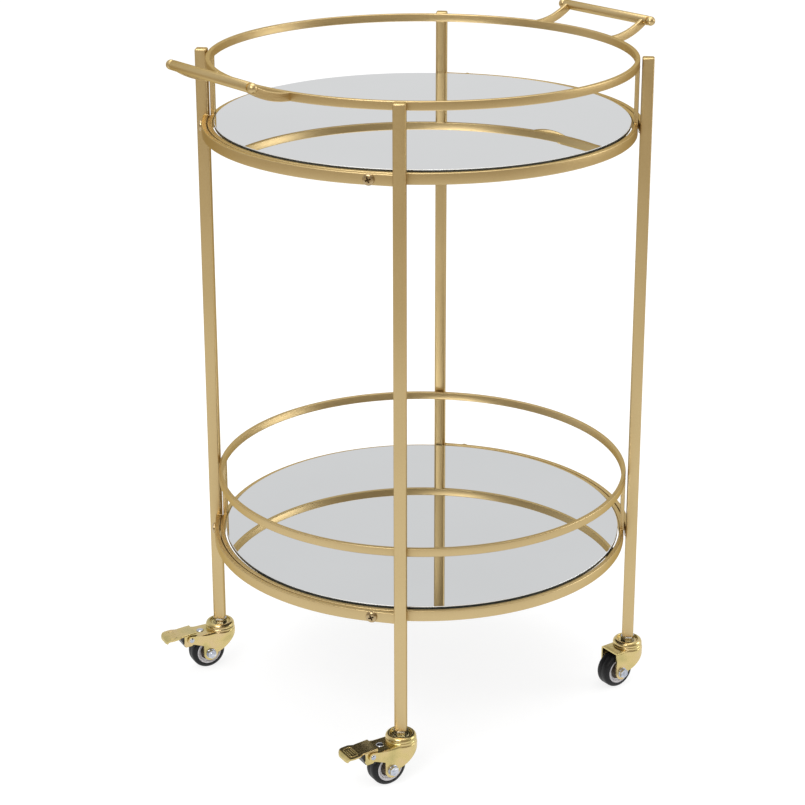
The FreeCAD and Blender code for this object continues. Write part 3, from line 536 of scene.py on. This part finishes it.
def screwPart(angle, middle):
    # a pan head less a cross shaped recess, a skirt under its rim and a shank
    d = screwDims
    r = np.concatenate([np.linspace(axisGap, d["slotReach"] + 0.4, 18),
                        np.linspace(d["slotReach"] + 0.7, d["radius"], 7)])
    turns = np.linspace(0, 2 * np.pi, d["segments"], endpoint=False)
    out, around = np.meshgrid(r, turns, indexing="ij")
    x, y = out * np.cos(around), out * np.sin(around)
    a = math.radians(d["crossTurn"])
    u = np.abs(x * math.cos(a) + y * math.sin(a))
    v = np.abs(y * math.cos(a) - x * math.sin(a))
    slot = np.maximum(*(inside(across, d["slotWidth"], d["wallSlope"])
                        * inside(along, d["slotReach"], d["endSlope"])
                        for across, along in ((v, u), (u, v))))
    shallower = (1 - 0.5 * out / d["slotReach"]).clip(0, 1)
    head = np.stack([x, y, panHeight(out) - d["recess"] * slot * shallower], -1)
    skirt = latheRows([(d["radius"] + more, height) for more, height in d["skirt"]]
                      + [(d["shank"], 0), (d["shank"], d["shankEnd"]), (axisGap, d["shankEnd"])],
                      d["segments"])
    rows = np.concatenate([head, skirt])
    rows = np.stack([arcDims["outer"] + rows[..., 2], rows[..., 0], rows[..., 1]], -1)
    return gridPart(turnAbout(rows, angle) + (0, 0, middle))


def makeScrews(level):
    d = screwDims
    middle = trayLevels[level] + hoopDims["height"] / 2
    angles = [endAngle + s * arcDims["bend"] for endAngle in endAngles.values() for s in bothWays]
    turns = np.radians(angles)

    def inShadedCross(c):
        # the faces sunk below the dome, near a screw's own axis, which take the painted shade of the
        # recess
        along = c[:, :1] * np.cos(turns) + c[:, 1:2] * np.sin(turns)
        side = c[:, 1:2] * np.cos(turns) - c[:, :1] * np.sin(turns)
        out = np.hypot(side, c[:, 2:] - middle)
        sunk = panHeight(out) - (along - arcDims["outer"]) > d["shadedBelow"]
        return (sunk & (along > 0) & (out < d["slotReach"] + d["endSlope"])).any(axis=1)
    makePiece(level + "_pan_screws", [screwPart(angle, middle) for angle in angles], goldScrew,
              trolleyBody, "gold_screw", [level + "_frame_screws"], smoothBelow=d["smoothBelow"],
              others=[paintedCrossShade], choose=inShadedCross)


for levelName in trayLevels:
    makeScrews(levelName)
print("frame screws made")


# the axle's and the pivot's places are forward, across and up from under the stem
casterDims = {"headings": {"front": 172.0, "left": 169.0, "right": 176.0, "back": -176.0},
              "braked": ("front", "left"), "legRadius": 223.0,
              "axle": (17.0, 0, 19.0), "pivot": (38.8, 0, 39.7)}
cupDims = {"radius": 15.6, "crest": 12.1, "top": 50.2, "roll": 4.6, "fold": 0.9, "lip": 45.3,
           "floor": 48.15, "under": 46.75, "groove": 47.6, "flange": 48.5, "segments": 96,
           "grooveWall": ((11.15, 0.6), (11.0, 0.2), (10.8, 0.1), (10.55, 0.15), (10.3, 0.0),
                          (10.05, 0.15)),
           "flangeEdge": ((9.8, -0.25), (9.5, 0.0), (7.6, 0.0)), "flangeFoot": 7.2, "underEdge": 13.6,
           "lipEdge": ((14.9, 0.0), (15.35, 0.0), (15.52, 0.2)), "smoothBelow": 50}
stemDims = {"across": 12.7, "low": 48.15, "high": 54.0, "shank": 5.0, "sunk": 0.5, "under": 41.1,
            "head": 7.5, "headHeight": 1.6, "headRound": 0.4, "headDraw": 0.8, "headDrawShare": 0.8,
            "dimple": 3.2, "dimpleShare": 0.7, "thread": 3.0, "threadTop": 72.0, "threadRound": 0.5,
            "threadSunk": 0.2}
hexDims = {"cone": 1.02, "slope": 0.6, "segments": 72}


def toCaster(points, corner):
    # from the stem's own frame, with +X along the trail, to its leg
    a = math.radians(legAngles[corner])
    offset = np.array([math.cos(a), math.sin(a), 0]) * casterDims["legRadius"]
    return turnAbout(points, casterDims["headings"][corner]) + offset


def acrossWheel(rows, sign=1):
    # a shape turned about Z laid down so that its axis is the wheel's, facing one way or the other
    return np.stack([rows[..., 0], rows[..., 2] * sign, rows[..., 1]], -1)


def hexRows(across, low, high, softLow=True):
    # a hexagonal prism whose corners a cone chamfers at its ends; its reach at each angle is that of a
    # flat side over the cosine of the angle from the side's middle
    d = hexDims
    a = np.linspace(0, 2 * np.pi, d["segments"], endpoint=False)
    r = across / 2 / np.cos(np.mod(a + np.pi / 6, np.pi / 3) - np.pi / 6)
    cone = np.minimum(r, across / 2 * d["cone"])
    drop = (r - cone) * d["slope"]
    rows = [(axisGap, high), (cone, high), (r, high - drop), (r, (high + low) / 2),
            (r, low + drop * softLow), (cone, low), (axisGap, low)]
    return np.array([np.stack([q * np.cos(a), q * np.sin(a), z + 0 * a], -1) for q, z in rows])


def stemParts(corner):
    # a hex collar, a thread up into the leg, and a shank down through the cup to a riveted head
    d = stemDims
    thread, threadTop, threadFoot = d["thread"], d["threadTop"], d["high"] - d["threadSunk"]
    threadRows = latheRows([(axisGap, threadTop), (thread - d["threadRound"], threadTop),
                            (thread, threadTop - d["threadRound"]), (thread, threadFoot),
                            (axisGap, threadFoot)], 32)
    top, under, head, high = d["low"] + d["sunk"], d["under"], d["head"], d["headHeight"]
    shankRows = latheRows([(axisGap, top), (d["shank"], top), (d["shank"], under),
                           (head - d["headRound"], under), (head, under - d["headRound"]),
                           (head - d["headDraw"], under - high * d["headDrawShare"]),
                           (d["dimple"], under - high), (axisGap, under - high * d["dimpleShare"])], 48)
    return [gridPart(toCaster(rows, corner))
            for rows in (hexRows(d["across"], d["low"], d["high"]), threadRows, shankRows)]


def makeSwivelTop(corner):
    # section: a quarter ellipse up to the crest, a small quarter circle down, then a groove and a flange
    # round the stem
    d = cupDims
    turns = np.radians(np.linspace(0, 90, 15))
    rise = np.stack([d["crest"] + (d["radius"] - d["crest"]) * np.cos(turns),
                     d["top"] - d["roll"] * (1 - np.sin(turns))], -1)
    fall = np.stack([d["crest"] - d["fold"] * np.sin(turns[1:]),
                     d["top"] - d["fold"] * (1 - np.cos(turns[1:]))], -1)
    bore = stemDims["shank"]
    walls = [(r, d["groove"] + up) for r, up in d["grooveWall"]]
    walls += [(r, d["flange"] + up) for r, up in d["flangeEdge"]]
    walls += [(d["flangeFoot"], d["floor"]), (bore, d["floor"]), (bore, d["under"]),
              (d["underEdge"], d["under"])]
    walls += [(r, d["lip"] + up) for r, up in d["lipEdge"]]
    rows = latheRows(np.concatenate([rise, fall, walls]), d["segments"]).transpose(1, 0, 2)
    makePiece("swivel_cup_" + corner, [gridPart(toCaster(rows, corner), wrapRows=True)], yellowZinc,
              trolleyBody, "yellow_zinc", ["caster_cup_" + corner], smoothBelow=d["smoothBelow"])


makePiece("stem_nuts", [p for c in legAngles for p in stemParts(c)], brightZinc, trolleyBody,
          "silver_steel", ["caster_stems"])
for cornerName in legAngles:
    makeSwivelTop(cornerName)
print("caster stems and cups made")


wheelDims = {"radius": 19.0, "width": 17.0, "tyreInner": 14.0, "round": 5.0, "roundShare": 0.8,
             "innerEdge": ((0.0, 0.5), (0.25, 0.1)), "crown": 0.12, "crownWidth": 0.25, "treadEdge": 1.5,
             "rimWidth": 16.0, "bead": ((0.0, -0.6), (0.2, 0.1), (0.6, 0.35), (1.1, 0.3), (1.6, 0.0)),
             "lip": 2.6, "step": 1.8, "stepDepth": 1.8, "web": 5.0, "hub": 5.5, "hubReach": 11.0,
             "bore": 3.05, "segments": 96}
boltDims = {"shank": 3.0, "washer": 5.6, "washerThick": 0.8, "washerFoot": 0.15, "washerRound": 0.2,
            "across": 9.0, "height": 2.8, "end": ((2.2, 0.3), (2.6, -0.1)), "face": 13.0}
forkDims = {"bevel": 0.35, "segments": 3, "flatBelow": 0.6, "bevelAbove": 40, "smoothBelow": 32}


def lateral(corner):
    # the direction of the wheel's axle
    a = math.radians(casterDims["headings"][corner])
    return np.array([-math.sin(a), math.cos(a), 0])


def tyreRows():
    # half section: inner edge, side, a quarter ellipse shoulder and a slightly crowned tread
    d = wheelDims
    turns = np.radians(np.linspace(0, 90, 9))[1:]
    side, top, deep = d["width"] / 2, d["radius"], d["round"] * d["roundShare"]
    half = [(d["tyreInner"] + up, side - into) for up, into in d["innerEdge"]]
    half += [(top - d["round"] * (1 - math.sin(a)), side - deep * (1 - math.cos(a))) for a in turns]
    half += [(top, side - deep - d["treadEdge"]), (top, d["crownWidth"])]
    return acrossWheel(latheRows(bothSides(half, [(top - d["crown"], 0.0)]), d["segments"]))


def rimRows():
    # an outer band with a raised bead, a second ring set back from it, a recessed web and a hub
    d = wheelDims
    w, lip, web = d["rimWidth"] / 2, d["tyreInner"] - d["lip"], d["web"] / 2
    hub, bore = d["hub"], d["bore"]
    ring, back, reach = lip - d["step"], w - d["stepDepth"], d["hubReach"]
    half = [(d["tyreInner"] - into, w + out) for into, out in d["bead"]]
    half += [(lip + 0.4, w - 0.1), (lip + 0.1, w - 0.35), (lip, back + 0.4), (lip - 0.3, back),
             (ring + 0.3, back), (ring, back - 0.3), (ring - 0.15, web + 0.6), (ring - 0.6, web),
             (hub + 1.6, web), (hub + 1.3, web + 0.6), (hub + 0.4, web + 0.6), (hub, web + 1.0),
             (hub, reach - 0.3), (hub - 0.3, reach), (bore + 0.2, reach), (bore, reach - 0.2)]
    return acrossWheel(latheRows(bothSides(half), d["segments"]))


def makeWheel(corner):
    d, body = wheelDims, "wheel_" + corner
    tyre, rim = (gridPart(toCaster(rows.transpose(1, 0, 2) + casterDims["axle"], corner), wrapRows=True)
                 for rows in (tyreRows(), rimRows()))
    makePiece("tread_" + corner, [tyre], tyreRubber, body, "tyre_rubber", ["tyre_" + corner])
    centre = toCaster(np.array([casterDims["axle"]]), corner)[0]
    recess = d["tyreInner"] - d["lip"] - d["step"] - axisGap

    def inShadedRecess(centres):
        # the faces inside the second ring, by their distance from the axle's line; they take the painted
        # shade of the recess
        out = centres - centre
        return np.linalg.norm(out - np.outer(out @ lateral(corner), lateral(corner)), axis=1) < recess
    makePiece("wheel_rim_" + corner, [rim], rimPlastic, body, "rim_plastic", ["rim_" + corner],
              others=[recessPaintedShade], choose=inShadedRecess)


def makeAxle(corner):
    # a washer, a hex and a bolt end on each side, and a shank between
    d = boltDims
    face, radius, soft = d["face"], d["washer"], d["washerRound"]
    base = face + d["washerThick"]
    top = base + d["height"]
    washer = [(axisGap, face), (radius - d["washerFoot"], face), (radius, face + d["washerFoot"]),
              (radius, base - soft), (radius - soft, base), (axisGap, base)]
    end = [(axisGap, top + d["end"][0][1])] + [(r, top + up) for r, up in d["end"]]
    end.append((axisGap, end[-1][1]))
    shapes = [latheRows(washer, 48), hexRows(d["across"], base, top, softLow=False), latheRows(end, 32)]
    laid = [acrossWheel(rows, sign) for sign in bothWays for rows in shapes]
    shank = [(axisGap, face), (d["shank"], face), (d["shank"], -face), (axisGap, -face)]
    laid.append(acrossWheel(latheRows(shank, 32)))
    parts = [gridPart(toCaster(rows + casterDims["axle"], corner)) for rows in laid]
    makePiece("axle_nuts_" + corner, parts, brightZinc, "swivel_" + corner, "silver_steel",
              ["axle_bolt_" + corner])


def bevelledCopy(nodeName, name, material, body, width):
    # the CAD solid's own faces, merged and cleared of their triangles, with its edges softened
    d = forkDims
    mesh = frame["nodes"][nodeName].data.copy()
    mesh.name = name
    work = bmesh.new()
    work.from_mesh(mesh)
    bmesh.ops.remove_doubles(work, verts=work.verts, dist=meshDims["smallest"])
    bmesh.ops.dissolve_limit(work, angle_limit=math.radians(d["flatBelow"]), verts=work.verts,
                             edges=work.edges)
    work.to_mesh(mesh)
    work.free()
    mesh.materials.clear()
    mesh.materials.append(material)
    piece = finishPiece(mesh, name, body, [nodeName], d["smoothBelow"])
    bevel = piece.modifiers.new("softEdges", "BEVEL")
    bevel.width = width * mm
    bevel.segments = d["segments"]
    bevel.limit_method = "ANGLE"
    bevel.angle_limit = math.radians(d["bevelAbove"])
    bevel.harden_normals = True


for cornerName in legAngles:
    makeWheel(cornerName)
    makeAxle(cornerName)
    bevelledCopy("caster_fork_" + cornerName, "stamped_fork_" + cornerName, yellowZinc,
                 "swivel_" + cornerName, forkDims["bevel"])
print("wheels, axles and forks made")


pedalDims = {"bevel": 0.5, "leafBevel": 0.15, "tilt": 4.0, "plateTop": 6.6, "ribs": (15.8, 18.3, 20.8),
             "ribReach": 5.2, "ribRadius": 0.45, "ribHeight": 0.28, "leastRib": 0.0004,
             "frameMiddle": 18.3, "frameAlong": 8.6, "frameAcross": 17.0, "frameCorner": 2.8,
             "smoothBelow": 60}
rivetDims = {"pinHead": 2.8, "topHead": 4.2, "height": 1.2, "sunk": 0.6, "footShare": 0.6,
             "dimple": (0.14, 0.96), "dimpleFloor": 0.80, "forkHalf": 13.0, "pin": (1.9, 12.9),
             "topForward": 24.0, "forkTop": 43.0,
             "tail": ((1.8, 42.8), (1.8, 40.3), (2.6, 40.3), (2.4, 39.9))}


def toPedal(points, corner):
    # from the pedal's own frame at its pivot, tilted down at the paddle
    a = math.radians(pedalDims["tilt"])
    tilt = np.array([[math.cos(a), 0, math.sin(a)], [0, 1, 0], [-math.sin(a), 0, math.cos(a)]])
    return toCaster(points @ tilt.T + casterDims["pivot"], corner)


def ribRows(x):
    # a raised grip rib: an ellipse across the paddle that shrinks to a point at both ends
    d = pedalDims
    along = np.linspace(-1, 1, 25)[:, None]
    size = np.sqrt(np.maximum(1 - along ** 8, d["leastRib"]))
    turns = np.linspace(0, 2 * np.pi, 16, endpoint=False)
    return np.stack([x + d["ribRadius"] * size * np.cos(turns), along * d["ribReach"] + 0 * turns,
                     d["plateTop"] + d["ribHeight"] * size * np.sin(turns)], -1)


def ribFrameRows():
    # a raised rounded rectangle round the grip ribs, an ellipse in section
    d = pedalDims
    loop = roundedLoop(d["frameAlong"], d["frameAcross"], d["frameCorner"], 6)
    inner = roundedLoop(d["frameAlong"] - 1, d["frameAcross"] - 1, d["frameCorner"] - 0.5, 6)
    outward = (loop - inner) / np.hypot(*(loop - inner).T)[:, None]
    turns = np.linspace(0, 2 * np.pi, 12, endpoint=False)
    size = d["ribRadius"] * np.cos(turns)
    return np.stack([d["frameMiddle"] + loop[:, :1] + outward[:, :1] * size,
                     loop[:, 1:] + outward[:, 1:] * size,
                     d["plateTop"] + d["ribHeight"] * np.sin(turns) + 0 * loop[:, :1]], -1)


def domeRows(radius, base):
    # a rivet head: a low dome with a shallow dimple in its middle
    d = rivetDims
    height, foot = d["height"], base - d["sunk"]
    turns = np.radians(np.linspace(0, 90, 9))[1:-1]
    profile = [(axisGap, foot), (radius * d["footShare"], foot), (radius, base)]
    profile += [(radius * math.cos(a), base + height * math.sin(a)) for a in turns]
    profile += [(radius * d["dimple"][0], base + height * d["dimple"][1]),
                (axisGap, base + height * d["dimpleFloor"])]
    return latheRows(profile, 40)


def makeBrake(corner):
    body = "brake_" + corner
    bevelledCopy("brake_pedal_" + corner, "pedal_plate_" + corner, yellowZinc, body,
                 pedalDims["bevel"])
    bevelledCopy("brake_shoe_" + corner, "shoe_block_" + corner, shoePlastic, body,
                 pedalDims["bevel"])
    bevelledCopy("brake_leaf_" + corner, "leaf_strip_" + corner, yellowZinc, "swivel_" + corner,
                 pedalDims["leafBevel"])
    ribs = [gridPart(toPedal(ribRows(x), corner)) for x in pedalDims["ribs"]]
    ribs.append(gridPart(toPedal(ribFrameRows(), corner), wrapRows=True))
    makePiece("pedal_ribs_" + corner, ribs, yellowZinc, body, "yellow_zinc",
              smoothBelow=pedalDims["smoothBelow"])
    d, pivot = rivetDims, casterDims["pivot"]
    pinRadius, pinHalf = d["pin"]
    pin = [(axisGap, pinHalf), (pinRadius, pinHalf), (pinRadius, -pinHalf), (axisGap, -pinHalf)]
    tail = [(axisGap, d["tail"][0][1]), *d["tail"], (axisGap, d["tail"][-1][1])]
    forward = (d["topForward"], 0, 0)
    shapes = [acrossWheel(domeRows(d["pinHead"], d["forkHalf"]), sign) + pivot for sign in bothWays]
    shapes += [acrossWheel(latheRows(pin, 24)) + pivot, domeRows(d["topHead"], d["forkTop"]) + forward,
               latheRows(tail, 32) + forward]
    makePiece("rivet_heads_" + corner, [gridPart(toCaster(rows, corner)) for rows in shapes], brightZinc,
              "swivel_" + corner, "silver_steel", ["brake_rivets_" + corner])


for cornerName in casterDims["braked"]:
    makeBrake(cornerName)
print("brakes made")


studioDims = {"floorSize": 60.0, "floorEmit": 0.80, "floorColor": 0.30, "floorToMatt": 0.8,
              "nearFloor": (0.97, 0.97, 0.96), "farFloor": (0.57, 0.50, 0.39), "nearEnd": 0.95,
              "farStart": 2.4, "plainWorld": 0.75, "toBack": (0.635, 0.7725, 0.0),
              "wallTurn": (-0.6, 0.4), "wallHeights": (0.0, 0.25, 0.65, 1.0),
              "backWall": (0.80, 0.76, 0.72, 0.78), "backTint": (1.0, 1.0, 1.0),
              "frontWall": (0.40, 0.25, 0.46, 0.78), "frontTint": (1.0, 0.89, 0.72)}


def greyOf(level):
    return level, level, level, 1


def chosenBy(tree, share, first, second):
    return addNode(tree, "MixShader", {"Fac": share, 1: first, 2: second}).outputs[0]


def seenBy(tree, matt, gloss, camera, output):
    # one shader for the light that reaches matt things, one for what metal and glass reflect and one for
    # the camera
    path = addNode(tree, "LightPath")
    sentOn = addNode(tree, "Math", {0: path.outputs["Is Glossy Ray"],
                                    1: path.outputs["Is Transmission Ray"]},
                     operation="MAXIMUM").outputs[0]
    seen = chosenBy(tree, path.outputs["Is Camera Ray"], chosenBy(tree, sentOn, matt, gloss), camera)
    tree.links.new(seen, tree.nodes[output].inputs["Surface"])


def smoothSpan(tree, value, start, end):
    return addNode(tree, "MapRange", {"From Min": start, "From Max": end, "Value": value},
                   interpolation_type="SMOOTHSTEP").outputs["Result"]


def makeFloor():
    # white with a soft shadow to the camera, and to the metal white near the trolley and duller far off
    d = studioDims
    half = d["floorSize"] / 2
    mesh = bpy.data.meshes.new("studioFloor")
    corners = [(-half, -half, 0), (half, -half, 0), (half, half, 0), (-half, half, 0)]
    mesh.from_pydata(corners, [], [(0, 1, 2, 3)])
    floor = bpy.data.objects.new("studioFloor", mesh)
    bpy.context.scene.collection.objects.link(floor)
    material = bpy.data.materials.new("studioFloorWhite")
    material.use_nodes = True
    tree = material.node_tree
    tree.nodes.remove(tree.nodes["Principled BSDF"])
    plain = addNode(tree, "BsdfDiffuse", {"Color": greyOf(d["floorToMatt"])}).outputs[0]
    pale = addNode(tree, "BsdfDiffuse", {"Color": greyOf(d["floorColor"])}).outputs[0]
    glow = addNode(tree, "Emission", {"Strength": d["floorEmit"]}).outputs[0]
    shown = addNode(tree, "AddShader", {0: pale, 1: glow}).outputs[0]
    distance = addNode(tree, "VectorMath", {0: addNode(tree, "TexCoord").outputs["Object"]},
                       operation="LENGTH").outputs["Value"]
    away = smoothSpan(tree, distance, d["nearEnd"], d["farStart"])
    reflected = rampThrough(tree, away, [(0, d["nearFloor"]), (1, d["farFloor"])])
    mirrored = addNode(tree, "Emission", {"Color": reflected}).outputs[0]
    seenBy(tree, plain, mirrored, shown, "Material Output")
    mesh.materials.append(material)


def wallShades(tree, height, greys, tint):
    # tinted greys at the horizon, low, half way up and overhead
    stops = [(level, [grey * share for share in tint])
             for level, grey in zip(studioDims["wallHeights"], greys)]
    return rampThrough(tree, height, stops)


def makeWorld():
    # white to the camera, plain grey to matt things, and to metal a pale back wall and a dim room
    # in front
    d = studioDims
    world = bpy.data.worlds.new("studioWorld")
    bpy.context.scene.world = world
    world.use_nodes = True
    tree = world.node_tree
    plain = tree.nodes["Background"]
    plain.inputs["Color"].default_value = greyOf(d["plainWorld"])
    place = addNode(tree, "TexCoord").outputs["Generated"]
    height = addNode(tree, "SeparateXYZ", {0: place}).outputs["Z"]
    along = addNode(tree, "VectorMath", {0: place, 1: d["toBack"]},
                    operation="DOT_PRODUCT").outputs["Value"]
    walls = addNode(tree, "Mix", {"Factor": smoothSpan(tree, along, *d["wallTurn"]),
                                  "A": wallShades(tree, height, d["frontWall"], d["frontTint"]),
                                  "B": wallShades(tree, height, d["backWall"], d["backTint"])},
                    data_type="RGBA")
    room = addNode(tree, "Background", {"Color": walls.outputs["Result"]}).outputs[0]
    white = addNode(tree, "Background", {"Color": greyOf(1)}).outputs[0]
    seenBy(tree, plain.outputs[0], room, white, "World Output")


def setUp(name, data, axes, place):
    # an object whose own X, Y and Z run along the three axes
    item = bpy.data.objects.new(name, data)
    bpy.context.scene.collection.objects.link(item)
    rows = [[axis[k] for axis in axes] + [place[k]] for k in range(3)]
    item.matrix_world = Matrix(rows + [[0, 0, 0, 1]])
    return item


def unit(vector):
    return vector / np.linalg.norm(vector)


lampPlan = {"keyLamp": {"place": (-2.4, -1.2, 2.6), "side": 1.6, "power": 40.0},
            "fillLamp": {"place": (2.4, -1.65, 1.2), "side": 1.4, "power": 17.0},
            "topLamp": {"place": (0.3, 0.2, 3.2), "side": 2.6, "power": 40.0}}
lampAim = (0, 0, 0.4)


def makeLamp(name, lamp):
    light = bpy.data.lights.new(name, "AREA")
    light.shape = "RECTANGLE"
    light.size = light.size_y = lamp["side"]
    light.energy = lamp["power"]
    back = unit(np.array(lamp["place"], float) - np.array(lampAim, float))
    right = unit(np.cross([0, 0, 1.0], back))
    setUp(name, light, (right, np.cross(back, right), back), lamp["place"])


makeFloor()
makeWorld()
for lampName, lampDims in lampPlan.items():
    makeLamp(lampName, lampDims)

viewDims = {"place": (-1.31581, -1.58647, 1.10798), "azimuth": -39.6332, "drop": 18.8759, "roll": 0.0721,
            "focal": 94.043, "sensor": 36.0, "shift": (-0.023, -0.1)}


def makeCamera():
    # looks along its azimuth and down by its drop, then rolls about its line of sight
    d = viewDims
    a, e, roll = (math.radians(d[k]) for k in ("azimuth", "drop", "roll"))
    ahead = np.array([math.sin(-a) * math.cos(e), math.cos(a) * math.cos(e), -math.sin(e)])
    right = unit(np.cross(ahead, [0, 0, 1.0]))
    up = np.cross(right, ahead)
    rolledRight = math.cos(roll) * right + math.sin(roll) * up
    rolledUp = math.cos(roll) * up - math.sin(roll) * right
    lens = bpy.data.cameras.new("photoView")
    lens.sensor_width = d["sensor"]
    lens.lens = d["focal"]
    lens.shift_x, lens.shift_y = d["shift"]
    bpy.context.scene.camera = setUp("photoView", lens, (rolledRight, rolledUp, -ahead), d["place"])


makeCamera()
bpy.context.scene.view_settings.view_transform = "Standard"
print("studio and camera made")

bpy.context.view_layer.update()
